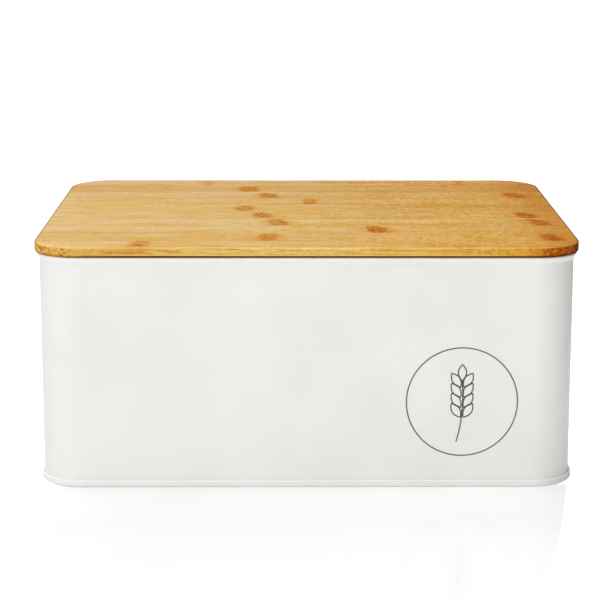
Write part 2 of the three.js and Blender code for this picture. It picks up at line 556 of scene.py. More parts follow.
class MaterialGraph(Graph):
    """The graph of a new material, with the place on the object in millimetres and the surface's normal."""

    def __init__(self, name: str) -> None:
        """Starts the material.

        Args:
            name: The material's name.
        """
        self.material = bpy.data.materials.new(name)
        self.material.use_nodes = True
        self.material.node_tree.nodes.clear()
        super().__init__(self.material.node_tree)
        self.shader = self.node("ShaderNodeBsdfPrincipled")
        self.node("ShaderNodeOutputMaterial", {"Surface": self.shader.outputs[0]})
        where = self.node("ShaderNodeTexCoord").outputs
        self.place = self.sized(where["Object"], (MM, MM, MM))
        self.normal = where["Normal"]

    def shade(self, feeds: dict[str, Feed]) -> bpy.types.Material:
        """Feeds the shader.

        Args:
            feeds: Values or sockets for its inputs, by name.

        Returns:
            The material.
        """
        for name, value in feeds.items():
            self.feed(self.shader.inputs[name], value)
        return self.material

    def relief(self, height: Socket) -> Socket:
        """Turns a height in metres into a normal."""
        return self.node("ShaderNodeBump", {"Height": height, "Strength": 1.0, "Distance": 1.0}).outputs[0]


# Shared effects


@dataclass(frozen=True)
class BambooGrain:
    """The long grain of bamboo: a solid pattern drawn out along X, with sizes in millimetres."""

    seed_steps: Size = (83.1, 29.7, 17.3)
    stray_size: Size = (65.0, 20.0, 20.0)
    swells: tuple[tuple[str, Size, float], ...] = (
        ("Tone", (170.0, 9.0, 6.0), 2.0),
        ("Streak", (75.0, 2.2, 1.5), 3.0),
        ("Dash", (10.0, 3.6, 2.6), 2.0),
        ("Patch", (26.0, 11.0, 8.0), 2.0),
        ("Fibre", (14.0, 0.45, 0.4), 2.0),
        ("Mottle", (2.4, 3.6, 1.8), 1.0),
        ("Ripple", (15.0, 5.0, 0.8), 2.0),
        ("Grit", (1.1, 1.1, 0.9), 1.0),
    )
    swell_roughness: float = 0.6
    bundles: tuple[tuple[str, Size, Step], ...] = (
        ("Bundle", (30.0, 1.1, 1.1), (0.4, 0.14)),
        ("Pore", (2.2, 1.9, 1.5), (0.55, 0.14)),
    )

    def build(self) -> bpy.types.NodeTree:
        """Builds the group.

        Returns:
            The group. Place is in millimetres, Seed moves the pattern, Wander is how far fibres stray.
            Tone has the broadest streaks and Fibre the finest, Dash has short strokes and Patch long
            clouds, Bundle has the dark dashes of single fibre bundles and Pore their cut ends, Mottle
            the flecks between them, Ripple the thin waves on an upright edge, and Grit its finest specks.
        """
        masks = [name for name, _, _ in (*self.swells, *self.bundles)]
        g = GroupGraph("bamboo_grain", "Place", ("Seed", "Wander"), masks)
        shifts = {axis: g.times(g.given["Seed"], step) for axis, step in enumerate(self.seed_steps)}
        place = g.vector("ADD", g.vector_given, g.node("ShaderNodeCombineXYZ", shifts).outputs[0])
        stray = g.times(g.minus(g.noise(place, self.stray_size), NOISE_MIDDLE), g.given["Wander"])
        place = g.vector("ADD", place, g.node("ShaderNodeCombineXYZ", {1: stray, 2: stray}).outputs[0])
        for name, size, detail in self.swells:
            g.give(name, g.noise(place, size, detail, self.swell_roughness))
        for name, size, edge in self.bundles:
            cells = g.node("ShaderNodeTexVoronoi", {"Vector": g.sized(place, size), "Scale": 1.0})
            g.give(name, g.rise(cells.outputs["Distance"], *edge))
        return g.tree


@dataclass(frozen=True)
class NodeBand:
    """The brown mark that a culm's node leaves across a strip: an oval of wavy bars."""

    slow_size: Size = (9.0, 9.0, 9.0)
    quick_size: Size = (3.2, 2.2, 2.2)
    quick_detail: float = 3.0
    slow_sway: float = 6.0
    quick_sway: float = 4.0
    raggedness: float = 5.0
    halo_flatness: float = 0.13
    bar_lean: float = 0.22
    bar_pitch: float = 8.5
    bar_step: Step = (-0.8, 0.6, 0.55, 1.0)
    speckles: tuple[tuple[Size, float, Step], ...] = (
        ((2.6, 5.0, 5.0), 2.0, (0.42, 0.6, 0.15, 1.0)),
        ((1.3, 3.2, 3.2), 1.0, (0.4, 0.58, 0.25, 1.15)),
    )
    trail_size: Size = (22.0, 1.6, 1.6)
    trail_step: Step = (0.4, 0.65, 0.3, 1.0)
    body_step: Step = (1.2, 0.7)
    core_step: Step = (1.15, 0.45)
    halo_step: Step = (1.1, 0.35)

    def build(self) -> bpy.types.NodeTree:
        """Builds the group.

        Returns:
            The group. Along and Across place the mark's middle, Slant is its drift along X for each
            millimetre of Y, Width and Length are its sizes along X and Y, and Strength its depth. Body is
            the whole mark, Core its dark bars, and Halo the stain that trails off along the grain.
        """
        numbers = ("Along", "Across", "Slant", "Width", "Length", "Strength")
        g = GroupGraph("node_band", "Place", numbers, ("Core", "Body", "Halo"))
        given, place = g.given, g.vector_given
        x, y, _ = g.axes(place)
        off_y = g.minus(y, given["Across"])
        off_x = g.minus(g.minus(x, given["Along"]), g.times(off_y, given["Slant"]))
        slow = g.minus(g.noise(place, self.slow_size), NOISE_MIDDLE)
        quick = g.minus(g.noise(place, self.quick_size, self.quick_detail), NOISE_MIDDLE)
        off_x = g.plus(off_x, g.plus(g.times(slow, self.slow_sway), g.times(quick, self.quick_sway)))
        off_y = g.plus(off_y, g.times(quick, self.raggedness))
        reach_x, reach_y = (g.math("DIVIDE", g.times(off, 2.0), given[size])
                            for off, size in ((off_x, "Width"), (off_y, "Length")))
        square_x, square_y = g.times(reach_x, reach_x), g.times(reach_y, reach_y)
        oval = g.math("SQRT", g.plus(square_x, g.times(square_y, square_y)))
        wide_oval = g.math("SQRT", g.plus(g.times(square_x, self.halo_flatness), square_y))
        bar_place = g.plus(off_y, g.times(off_x, self.bar_lean))
        bars = g.rise(g.math("COSINE", g.times(bar_place, TURN / self.bar_pitch)), *self.bar_step)
        for size, detail, step in self.speckles:
            bars = g.times(bars, g.rise(g.noise(place, size, detail), *step))
        trail = g.rise(g.noise(place, self.trail_size), *self.trail_step)
        masks = {
            "Core": g.times(g.rise(oval, *self.core_step), bars),
            "Body": g.rise(oval, *self.body_step),
            "Halo": g.times(g.rise(wide_oval, *self.halo_step), trail),
        }
        for name, mask in masks.items():
            g.give(name, g.times(mask, given["Strength"]))
        return g.tree


@dataclass(frozen=True)
class GlueJoint:
    """The line where two strips are glued, and the warmer margin beside it, both coming and going."""

    drift_size: Size = (60.0, 40.0, 40.0)
    line_edge: Step = (0.35, 0.1)
    line_drift: Step = (0.3, 0.6, 0.4, 1.0)
    margin_edge: Step = (3.0, 0.4)
    margin_drift: Step = (0.45, 0.6)

    def build(self) -> bpy.types.NodeTree:
        """Builds the group.

        Returns:
            The group. Front and Back are the strip's edges in Y, in millimetres.
        """
        g = GroupGraph("glue_joint", "Place", ("Front", "Back"), ("Line", "Margin"))
        _, y, _ = g.axes(g.vector_given)
        near = g.math("MINIMUM", g.minus(y, g.given["Front"]), g.minus(g.given["Back"], y))
        drift = g.noise(g.vector_given, self.drift_size)
        g.give("Line", g.times(g.rise(near, *self.line_edge), g.rise(drift, *self.line_drift)))
        g.give("Margin", g.times(g.rise(near, *self.margin_edge), g.rise(drift, *self.margin_drift)))
        return g.tree


@dataclass(frozen=True)
class BoardEdges:
    """Masks of a board's edges, found by the way the surface leans."""

    upper: tuple[Step, Step] = ((0.15, 0.5), (0.88, 0.66))
    lower: tuple[Step, Step] = ((-0.04, -0.3), (-0.99, -0.9))
    end: Step = (0.04, 0.3)
    side: Step = (0.35, 0.85)

    def build(self) -> bpy.types.NodeTree:
        """Builds the group.

        Returns:
            The group, which takes the surface's own normal. Upper and Lower are the rounded edges, Side
            is every upright face, and End those across the grain.
        """
        g = GroupGraph("arris", "Normal", (), ("Upper", "Lower", "End", "Side"))
        lean_x, lean_y, z = g.axes(g.vector_given)
        x, y = g.math("ABSOLUTE", lean_x), g.math("ABSOLUTE", lean_y)
        g.give("Upper", g.band(z, *self.upper))
        g.give("Lower", g.band(z, *self.lower))
        g.give("End", g.rise(x, *self.end))
        g.give("Side", g.rise(g.math("MAXIMUM", x, y), *self.side))
        return g.tree


@dataclass(frozen=True)
class Handling:
    """The faint unevenness that wiping and handling leave in a gloss."""

    cloud_size: Size = (38.0, 38.0, 30.0)
    cloud_detail: float = 3.0
    cloud_step: Step = (0.35, 0.7)
    wipe_size: Size = (60.0, 9.0, 9.0)
    wipe_step: Step = (0.3, 0.7, 0.5, 1.0)

    def build(self) -> bpy.types.NodeTree:
        """Builds the group.

        Returns:
            The group. Place is in millimetres, and Film runs from 0 to 1.
        """
        g = GroupGraph("handling", "Place", (), ("Film",))
        clouds = g.noise(g.vector_given, self.cloud_size, self.cloud_detail)
        wiped = g.noise(g.vector_given, self.wipe_size)
        g.give("Film", g.times(g.rise(clouds, *self.cloud_step), g.rise(wiped, *self.wipe_step)))
        return g.tree


class SharedEffects:
    """The node groups that more than one material uses, each built once."""

    def __init__(self) -> None:
        """Builds every group."""
        self.grain = BambooGrain().build()
        self.node_band = NodeBand().build()
        self.joint = GlueJoint().build()
        self.arris = BoardEdges().build()
        self.handling = Handling().build()


# Finishes


@dataclass(frozen=True)
class PowderCoat:
    """Satin white powder coat with the slight orange peel of a baked film, and a painted highlight on the flare of
    its rim.
    """

    name: str = "white_powder_coat"
    colour: Colour = srgb(240, 239, 235)
    shade: Colour = srgb(236, 235, 230)
    # Painted highlight on the flare of the rim, which faces down under the lid's edge.
    rim: Colour = srgb(247, 247, 244)
    rim_highlight_step: Step = (126.5, 129.5)
    cloud_size: Size = (55.0, 55.0, 55.0)
    cloud_step: Step = (0.35, 0.7)
    roughness: float = 0.34
    film_roughness: float = 0.08
    peel_size: Size = (1.3, 1.3, 1.3)
    peel_detail: float = 1.5
    peel_height: float = 0.004
    coat_weight: float = 0.25
    coat_roughness: float = 0.12

    def build(self, effects: SharedEffects) -> bpy.types.Material:
        """Builds the material.

        Args:
            effects: The shared node groups.

        Returns:
            The material.
        """
        g = MaterialGraph(self.name)
        film = g.group(effects.handling, {"Place": g.place})["Film"]
        _, _, z = g.axes(g.place)
        cloud = g.rise(g.noise(g.place, self.cloud_size), *self.cloud_step)
        colour = g.mix(cloud, self.colour, self.shade)
        peel = g.noise(g.place, self.peel_size, self.peel_detail)
        return g.shade({
            # Painted highlight on the flare of the rim.
            "Base Color": g.mix(g.rise(z, *self.rim_highlight_step), colour, self.rim),
            "Roughness": g.plus(g.times(film, self.film_roughness), self.roughness),
            "Normal": g.relief(g.times(peel, self.peel_height * MM)),
            "Coat Weight": self.coat_weight,
            "Coat Roughness": self.coat_roughness,
        })


@dataclass(frozen=True)
class PrintInk:
    """Matt dark ink, screen-printed in one thin even layer."""

    name: str = "dark_print_ink"
    colour: Colour = srgb(92, 84, 78)
    thin: Colour = srgb(108, 100, 94)
    grain_size: Size = (0.5, 0.5, 0.5)
    grain_detail: float = 3.0
    thin_step: Step = (0.35, 0.75)
    roughness_step: Step = (0.2, 0.8, 0.42, 0.58)

    def build(self) -> bpy.types.Material:
        """Builds the material.

        Returns:
            The material.
        """
        g = MaterialGraph(self.name)
        grain = g.noise(g.place, self.grain_size, self.grain_detail)
        colour = g.mix(g.rise(grain, *self.thin_step), self.colour, self.thin)
        return g.shade({"Base Color": colour, "Roughness": g.rise(grain, *self.roughness_step)})


@dataclass(frozen=True)
class BambooHues:
    """The colours of oiled bamboo: of its face, its nodes, its edges and its glue, with a painted highlight on the
    upper arris and the painted shadow along the lower one.
    """

    pale: Colour = srgb(211, 183, 124)
    rosy: Colour = srgb(216, 178, 130)
    middle: Colour = srgb(200, 162, 98)
    deep: Colour = srgb(185, 136, 70)
    warm: Colour = srgb(198, 140, 68)
    gold: Colour = srgb(206, 162, 66)
    fleck: Colour = srgb(140, 84, 32)
    glue: Colour = srgb(158, 94, 30)
    knot_core: Colour = srgb(148, 74, 2)
    knot_body: Colour = srgb(194, 128, 26)
    knot_halo: Colour = srgb(200, 138, 52)
    # Paler sanded arris, and a painted highlight along it.
    arris: Colour = srgb(240, 210, 140)
    edge_pale: Colour = srgb(236, 206, 130)
    edge_gold: Colour = srgb(222, 179, 80)
    edge_brown: Colour = srgb(196, 140, 48)
    end_pale: Colour = srgb(240, 200, 118)
    end_dark: Colour = srgb(152, 80, 20)
    # Painted shadow of the gap under the lid.
    shadow: Colour = srgb(98, 40, 2)


@dataclass(frozen=True)
class Layer:
    """A colour laid over others by a share, which grows as one mask of the grain passes from start to end."""

    mask: str
    start: float
    end: float
    share: float
    colour: Colour


HUES = BambooHues()
FACE_CLOUDS = (Layer("Patch", 0.5, 0.34, 0.65, HUES.rosy), Layer("Patch", 0.5, 0.66, 0.65, HUES.gold))
FACE_LINES = (Layer("Streak", 0.48, 0.7, 0.5, HUES.deep), Layer("Fibre", 0.52, 0.76, 0.35, HUES.fleck))
FACE_STROKES = (
    Layer("Dash", 0.46, 0.28, 0.55, HUES.pale),
    Layer("Dash", 0.54, 0.72, 0.7, HUES.warm),
    Layer("Mottle", 0.48, 0.26, 0.75, HUES.pale),
    Layer("Mottle", 0.52, 0.74, 0.75, HUES.deep),
)
EDGE_WAVES = (
    Layer("Streak", 0.38, 0.56, 1.0, HUES.edge_gold),
    Layer("Ripple", 0.49, 0.32, 0.85, HUES.edge_pale),
    Layer("Ripple", 0.51, 0.7, 0.8, HUES.edge_brown),
)
EDGE_BREAKS = (
    Layer("Dash", 0.47, 0.28, 0.85, HUES.edge_pale),
    Layer("Dash", 0.53, 0.7, 0.85, HUES.edge_brown),
    Layer("Mottle", 0.47, 0.3, 0.85, HUES.edge_pale),
    Layer("Mottle", 0.53, 0.7, 0.85, HUES.edge_brown),
)
EDGE_FIBRES = (Layer("Fibre", 0.5, 0.7, 0.35, HUES.edge_brown),)
END_SPECKS = (Layer("Mottle", 0.42, 0.58, 1.0, HUES.edge_brown), Layer("Grit", 0.45, 0.6, 0.7, HUES.edge_brown))


@dataclass(frozen=True)
class Knot:
    """The band of one node of the culm, placed from the left end of the lid and the middle of the strip."""

    along: float
    strength: float = 1.0
    slant: float = 0.0
    width: float = 12.5
    length: float = 24.0
    across: float = -3.0


class StripGraph(MaterialGraph):
    """The graph of one strip's material, with the masks and the places that its colours are laid by."""

    def __init__(self, strip: BambooStrip, effects: SharedEffects, half: float) -> None:
        """Starts the material.

        Args:
            strip: The strip's finish.
            effects: The shared node groups.
            half: Half the lid's length, in millimetres.
        """
        super().__init__(strip.name)
        self.effects = effects
        self.half = half
        self.foot = strip.foot
        self.x, self.y, self.z = self.axes(self.place)
        self.off_middle = self.math("ABSOLUTE", self.x)
        self.grain = self.group(effects.grain, {"Place": self.place, "Seed": strip.seed, "Wander": strip.wander})
        self.arris = self.group(effects.arris, {"Normal": self.normal})

    def from_left(self, step: Step) -> Socket:
        """Gives a smooth step of the distance from the left end of the lid."""
        low, high, *given = step
        return self.rise(self.x, low - self.half, high - self.half, *given)

    def from_right(self, step: Step, x: Socket | None = None) -> Socket:
        """Gives a smooth step of the distance from the right end of the lid, or of another place in X."""
        low, high, *given = step
        return self.rise(self.x if x is None else x, self.half - low, self.half - high, *given)

    def above_foot(self, step: Step) -> Socket:
        """Gives a smooth step of the height above the strip's underside."""
        low, high, *given = step
        return self.rise(self.z, self.foot + low, self.foot + high, *given)

    def layered(self, colour: Feed, layers: Iterable[Layer], strength: Socket | None = None) -> Socket:
        """Lays colours over another, one after the other.

        Args:
            colour: The colour underneath.
            layers: What is laid over it.
            strength: How strongly all of it shows, or None for fully.

        Returns:
            The colour.
        """
        for layer in layers:
            share = self.rise(self.grain[layer.mask], layer.start, layer.end, 0.0, layer.share)
            colour = self.mix(share if strength is None else self.times(share, strength), colour, layer.colour)
        return colour


@dataclass(frozen=True)
class BambooStrip:
    """The finish of one oiled bamboo strip, with its places and reaches in millimetres.

    The lid is painted darker towards its right end, and most at the front corner there, as painted shade where the
    light falls off. A step whose name ends in left, right or foot is measured from that end of the lid or from the
    underside of the strip.
    """

    name: str
    seed: float
    front: float
    back: float
    foot: float
    glued_front: bool = True
    glued_back: bool = True
    tone: float = 0.0
    cast: Colour = WHITE
    knots: tuple[Knot, ...] = ()
    edge_stretches: tuple[tuple[float, float, Colour], ...] = ()
    wander: float = 1.6
    tone_spread: Step = (-60.0, 60.0, 0.6, 1.0)
    line_depth: Step = (-60.0, 110.0, 0.32, 1.5)
    stroke_depth: Step = (-60.0, 110.0, 0.5, 1.2)
    middle_tones: Step = (0.3, 0.68)
    deep_tones: Step = (0.52, 0.8, 0.0, 0.8)
    bundle_share: float = 0.2
    margin_share: float = 0.5
    glue_share: float = 0.55
    knot_shares: tuple[float, float] = (0.6, 0.8)
    edge_breaks: Step = (70.0, 130.0, 0.35, 1.0)
    pore_depth: Step = (-100.0, 120.0, 0.22, 0.9)
    stretch_core: float = 0.4
    front_corner: Step = (-20.0, -95.0)
    # Painted shade at the right front corner, where the light falls off.
    corner_edge_shade: Colour = (0.92, 0.63, 0.48, 1.0)
    corner_edge_shade_right: Step = (35.0, 21.0)
    corner_shade: Colour = (0.46, 0.22, 0.22, 1.0)
    corner_shade_right: Step = (8.0, 1.0)
    left_edge: Colour = (0.95, 0.86, 0.70, 1.0)
    left_edge_left: Step = (80.0, 25.0)
    # Painted shade: the edge darker and browner towards the right.
    right_edge_shade: Colour = (0.91, 0.80, 0.55, 1.0)
    right_edge_shade_reach: float = 45.0
    pale_line_foot: Step = (1.8, 1.35, 0.0, 0.85)
    pale_line_reach: Step = (125.0, 100.0)
    arris_pale_and_highlight_share: float = 0.6
    # Painted shade on the flat underside of the ply.
    underside: Colour = (0.5, 0.38, 0.28, 1.0)
    underside_foot: Step = (0.02, 0.005)
    # Painted shade: the lid darker towards its right end, where the light falls off.
    right_shade: Colour = (0.96, 0.84, 0.50, 1.0)
    right_shade_start: float = 60.0
    right_end_shade: Colour = (0.85, 0.68, 0.45, 1.0)
    right_end_shade_right: Step = (40.0, 0.0)
    # Painted shade on the upper arris at both ends of the lid.
    end_arris_shade: Colour = (0.55, 0.54, 0.7, 1.0)
    end_arris_shade_right: Step = (1.9, 1.2)
    end_arris_shade_foot: Step = (4.3, 4.8)
    # Painted shadow along the lower arris, the shade of the gap under the lid.
    shadow_height_left: Step = (50.0, 120.0, 1.06, 0.98)
    shadow_depth_left: Step = (0.0, 50.0, 0.3, 1.0)
    shadow_edge: Step = (0.12, -0.12)
    roughness: float = 0.5
    streak_roughness: float = 0.1
    film_roughness: float = 0.06
    grain_relief: float = 0.02
    specular: float = 0.02
    coat_weight: float = 0.02
    coat_roughness: float = 0.3

    def build(self, effects: SharedEffects, half: float) -> bpy.types.Material:
        """Builds the material.

        Args:
            effects: The shared node groups.
            half: Half the lid's length, in millimetres.

        Returns:
            The material.
        """
        g = StripGraph(self, effects, half)
        film = g.group(effects.handling, {"Place": g.place})["Film"]
        colour = g.mix(g.arris["Side"], self._face(g), self._side(g))
        # The upper arris paler from sanding, and with a painted highlight.
        colour = g.mix(g.times(g.arris["Upper"], self.arris_pale_and_highlight_share), colour, HUES.arris)
        # Painted shade: on the flat underside, towards the right end, and on the upper arris at both ends.
        end_arris_shade_share = g.times(g.from_right(self.end_arris_shade_right, g.off_middle), g.above_foot(self.end_arris_shade_foot))
        for share, tint in ((g.above_foot(self.underside_foot), self.underside),
                            (g.rise(g.x, self.right_shade_start - half, half), self.right_shade),
                            (g.from_right(self.right_end_shade_right), self.right_end_shade),
                            (end_arris_shade_share, self.end_arris_shade)):
            colour = g.tint(share, colour, tint)
        rough = g.plus(g.times(g.grain["Streak"], self.streak_roughness), self.roughness)
        height = self.grain_relief * MM
        return g.shade({
            # Painted shadow along the lower arris.
            "Base Color": g.mix(self._shadow(g), colour, HUES.shadow),
            "Roughness": g.plus(g.times(film, self.film_roughness), rough),
            "Normal": g.relief(g.minus(g.times(g.grain["Fibre"], height), g.times(g.grain["Bundle"], height))),
            "Specular IOR Level": self.specular,
            "Coat Weight": self.coat_weight,
            "Coat Roughness": self.coat_roughness,
        })

    def _face(self, g: StripGraph) -> Socket:
        """Gives the colour of the broad faces, whose grain is stronger towards the right.

        Args:
            g: The material's graph.

        Returns:
            The colour.
        """
        joint = g.group(g.effects.joint, {
            "Place": g.place,
            "Front": self.front - FAR * (not self.glued_front),
            "Back": self.back + FAR * (not self.glued_back),
        })
        line_depth, stroke_depth = g.rise(g.x, *self.line_depth), g.rise(g.x, *self.stroke_depth)
        centred = g.minus(g.grain["Tone"], NOISE_MIDDLE)
        tone = g.math("MULTIPLY_ADD", centred, g.rise(g.x, *self.tone_spread), NOISE_MIDDLE + self.tone)
        colour = g.mix(g.rise(tone, *self.middle_tones), HUES.pale, HUES.middle)
        colour = g.mix(g.times(g.rise(tone, *self.deep_tones), line_depth), colour, HUES.deep)
        colour = g.layered(colour, FACE_CLOUDS)
        colour = g.layered(colour, FACE_LINES, line_depth)
        colour = g.layered(colour, FACE_STROKES, stroke_depth)
        colour = g.mix(g.times(g.grain["Bundle"], self.bundle_share), colour, HUES.fleck)
        colour = g.tint(1.0, colour, self.cast)
        colour = g.mix(g.times(joint["Margin"], self.margin_share), colour, HUES.warm)
        colour = self._with_knots(g, colour)
        return g.mix(g.times(joint["Line"], self.glue_share), colour, HUES.glue)

    def _with_knots(self, g: StripGraph, colour: Socket) -> Socket:
        """Lays the strip's nodal bands over a colour.

        Args:
            g: The material's graph.
            colour: The colour so far.

        Returns:
            The colour with the bands.
        """
        halo_share, body_share = self.knot_shares
        for knot in self.knots:
            band = g.group(g.effects.node_band, {
                "Place": g.place,
                "Along": knot.along - g.half,
                "Across": (self.front + self.back) / 2 + knot.across,
                "Slant": knot.slant,
                "Width": knot.width,
                "Length": knot.length,
                "Strength": knot.strength,
            })
            colour = g.mix(g.times(band["Halo"], halo_share), colour, HUES.knot_halo)
            colour = g.mix(g.times(band["Body"], body_share), colour, HUES.knot_body)
            colour = g.mix(band["Core"], colour, HUES.knot_core)
        return colour

    def _side(self, g: StripGraph) -> Socket:
        """Gives the colour of the upright edges: long waves of gold, and cut fibre bundles across the grain.

        Args:
            g: The material's graph.

        Returns:
            The colour, browner towards both ends, at the right end as painted shade, with a pale line low down in the
            middle.
        """
        along = g.layered(HUES.edge_pale, EDGE_WAVES)
        along = g.layered(along, EDGE_BREAKS, g.rise(g.x, *self.edge_breaks))
        along = g.layered(along, EDGE_FIBRES)
        pores = g.times(g.grain["Pore"], g.rise(g.x, *self.pore_depth))
        across = g.mix(pores, g.layered(HUES.end_pale, END_SPECKS), HUES.end_dark)
        colour = g.mix(g.arris["End"], along, across)
        for middle, reach, tint in self.edge_stretches:
            offset = g.math("ABSOLUTE", g.minus(g.x, middle))
            colour = g.tint(g.rise(offset, reach, reach * self.stretch_core), colour, tint)
        # Painted shade darkens the right front corner and the right of the edge.
        corner = g.rise(g.y, *self.front_corner)
        for share, tint in ((g.times(g.from_right(self.corner_edge_shade_right), corner), self.corner_edge_shade),
                            (g.times(g.from_right(self.corner_shade_right), corner), self.corner_shade),
                            (g.from_left(self.left_edge_left), self.left_edge),
                            (g.rise(g.x, 0.0, g.half - self.right_edge_shade_reach), self.right_edge_shade)):
            colour = g.tint(share, colour, tint)
        pale_line = g.times(g.above_foot(self.pale_line_foot), g.rise(g.off_middle, *self.pale_line_reach))
        return g.mix(pale_line, colour, HUES.edge_pale)

    def _shadow(self, g: StripGraph) -> Socket:
        """Gives the share of the painted shadow along the lower arris, the shade of the gap under the lid, which
        thins out towards the left end.

        Args:
            g: The material's graph.

        Returns:
            The share.
        """
        top = g.plus(g.from_left(self.shadow_height_left), self.foot)
        line = g.times(g.rise(g.minus(g.z, top), *self.shadow_edge), g.from_left(self.shadow_depth_left))
        return g.times(line, g.math("MAXIMUM", g.arris["Side"], g.arris["Lower"]))


# Sub-assemblies


@dataclass
class SheetSizes:
    """Sizes that the wall and the base pan share, in millimetres."""

    thickness: float = 0.45
    seam_gap: float = 0.05
    hem_reach: float = 1.65
    seam_height: float = 3.8
    corner_steps: int = 28
    spacing: float = 14.0
    fold_steps: int = 8

    @property
    def half(self) -> float:
        """Half the sheet's thickness."""
        return self.thickness / 2

    @property
    def fold(self) -> float:
        """Radius of each fold of the seam, at the middle of the sheet."""
        return self.thickness + self.seam_gap

    @property
    def riser_out(self) -> float:
        """Middle of the pan's riser, inside the wall."""
        return -self.thickness - self.seam_gap - self.half

    @property
    def pan_hook_out(self) -> float:
        """Middle of the pan's hook, between the wall and its hook."""
        return self.seam_gap + self.half

    @property
    def wall_hook_out(self) -> float:
        """Middle of the wall's hook."""
        return self.pan_hook_out + self.fold

    @property
    def outer_turn_out(self) -> float:
        """Middle of the pan's outer turn, the face of the seam that shows."""
        return self.wall_hook_out + self.fold

    @property
    def wall_fold_height(self) -> float:
        """Centre of the wall's lower fold."""
        return self.thickness + self.seam_gap + self.half + self.fold

    @property
    def pan_fold_height(self) -> float:
        """Centre of the pan's upper fold."""
        return self.seam_height - self.half - self.fold


@dataclass
class SideWall:
    """The wrapped wall, with its hemmed rim, its lap and its air holes."""

    sheet: SheetSizes
    outline: Outline
    height: float
    hem_height: float = 4.0
    hem_steps: int = 12
    coat_fillet: float = 0.9
    lap_width: float = 6.0
    lap_margin: float = 1.5
    lap_sink: float = 0.1
    lap_round: float = 0.18
    lap_round_steps: int = 3
    vent_diameter: float = 6.0
    vent_pitch: float = 16.0
    vent_count: int = 3
    vent_nearest: float = 30.0
    vent_drop: float = 24.0
    vent_round: float = 0.16
    vent_round_steps: int = 4
    vent_steps: int = 40
    overrun: float = 1.0

    def section(self) -> list[Point2]:
        """Gives the wall's section: hook, fold, upright, and the hem that the coat has closed.

        The hem's leg leans in to the wall's face. The coat fills the slit behind it and rounds off its
        lower edge, so that the rim is one smooth flare.

        Returns:
            The closed section.
        """
        s = self.sheet
        hem_radius = s.hem_reach / 2
        hem_out = hem_radius - s.half
        hem_centre = self.height - s.half - hem_radius
        top = self.height - self.hem_height
        hook = [(s.wall_hook_out, s.pan_fold_height),
                *arc(s.wall_hook_out - s.fold, s.wall_fold_height, s.fold, 0, -2, s.fold_steps)]
        folded = sheet_section([*hook, (-s.half, top)], s.thickness)
        hook_inside, hook_outside = folded[:len(hook)], folded[len(hook) + 2:]
        rim = arc(hem_out, hem_centre, hem_radius + s.half, 0, 2, self.hem_steps)
        cone = (rim[0][0] / 2, (rim[0][1] + top) / 2)
        flare = curve((0.0, top - self.coat_fillet), (0.0, top), cone, s.fold_steps)
        return filled([*hook_outside, *hook_inside, *flare, *rim], s.spacing, closed=True)

    def lap(self) -> bmesh.types.BMesh:
        """Gives the welded lap of the wall's two ends, with its edges eased.

        Returns:
            The lap's mesh.
        """
        back = self.outline.depth / 2
        low = Vector((-self.lap_width / 2, back - self.lap_sink, self.sheet.seam_height + self.lap_margin))
        top = self.height - self.hem_height - self.lap_margin
        high = Vector((self.lap_width / 2, back + self.sheet.thickness, top))
        bm = bmesh.new()
        bmesh.ops.create_cube(bm, size=1.0)
        bmesh.ops.scale(bm, vec=high - low, verts=bm.verts)
        bmesh.ops.translate(bm, vec=(high + low) / 2, verts=bm.verts)
        outer = [e for e in bm.edges if any(v.co.y > back + self.sheet.half for v in e.verts)]
        bmesh.ops.bevel(bm, geom=outer, offset=self.lap_round, segments=self.lap_round_steps,
                        profile=ROUND_PROFILE, affect="EDGES")
        return bm

    def vent_cutter(self, x: float) -> bmesh.types.BMesh:
        """Gives the cutter for one air hole, flared at both faces of the sheet so that its edges are round.

        Args:
            x: The hole's place along the wall.

        Returns:
            The cutter.
        """
        radius, ease, thickness = self.vent_diameter / 2, self.vent_round, self.sheet.thickness
        wide = radius + ease
        angles = [QUARTER * i / self.vent_round_steps for i in range(self.vent_round_steps + 1)]
        outer = [(wide - ease * math.cos(a), ease * math.sin(a) - ease) for a in angles]
        inner = [(r, -thickness - y) for r, y in outer[::-1]]
        profile = [(wide, -thickness - self.overrun), *inner, *outer, (wide, self.overrun)]
        centre = Vector((x, self.outline.depth / 2, self.height - self.vent_drop))
        return lathe(profile, centre, self.vent_steps)

    def build(self, coat: bpy.types.Material) -> None:
        """Builds the wall and hands it to the frame.

        Args:
            coat: Its finish.
        """
        s = self.sheet
        wall = finished_object("wall_sheet", sweep(self.outline, self.section(), True, s.corner_steps, s.spacing))
        combine(wall, self.lap(), Joining.WELD)
        for i in range(self.vent_count):
            for side in (-1, 1):
                x = side * (self.vent_nearest + i * self.vent_pitch)
                combine(wall, self.vent_cutter(x), Joining.CUT)
        adopt(wall, Body.BOX, Slot.COAT, coat, "side_wall")


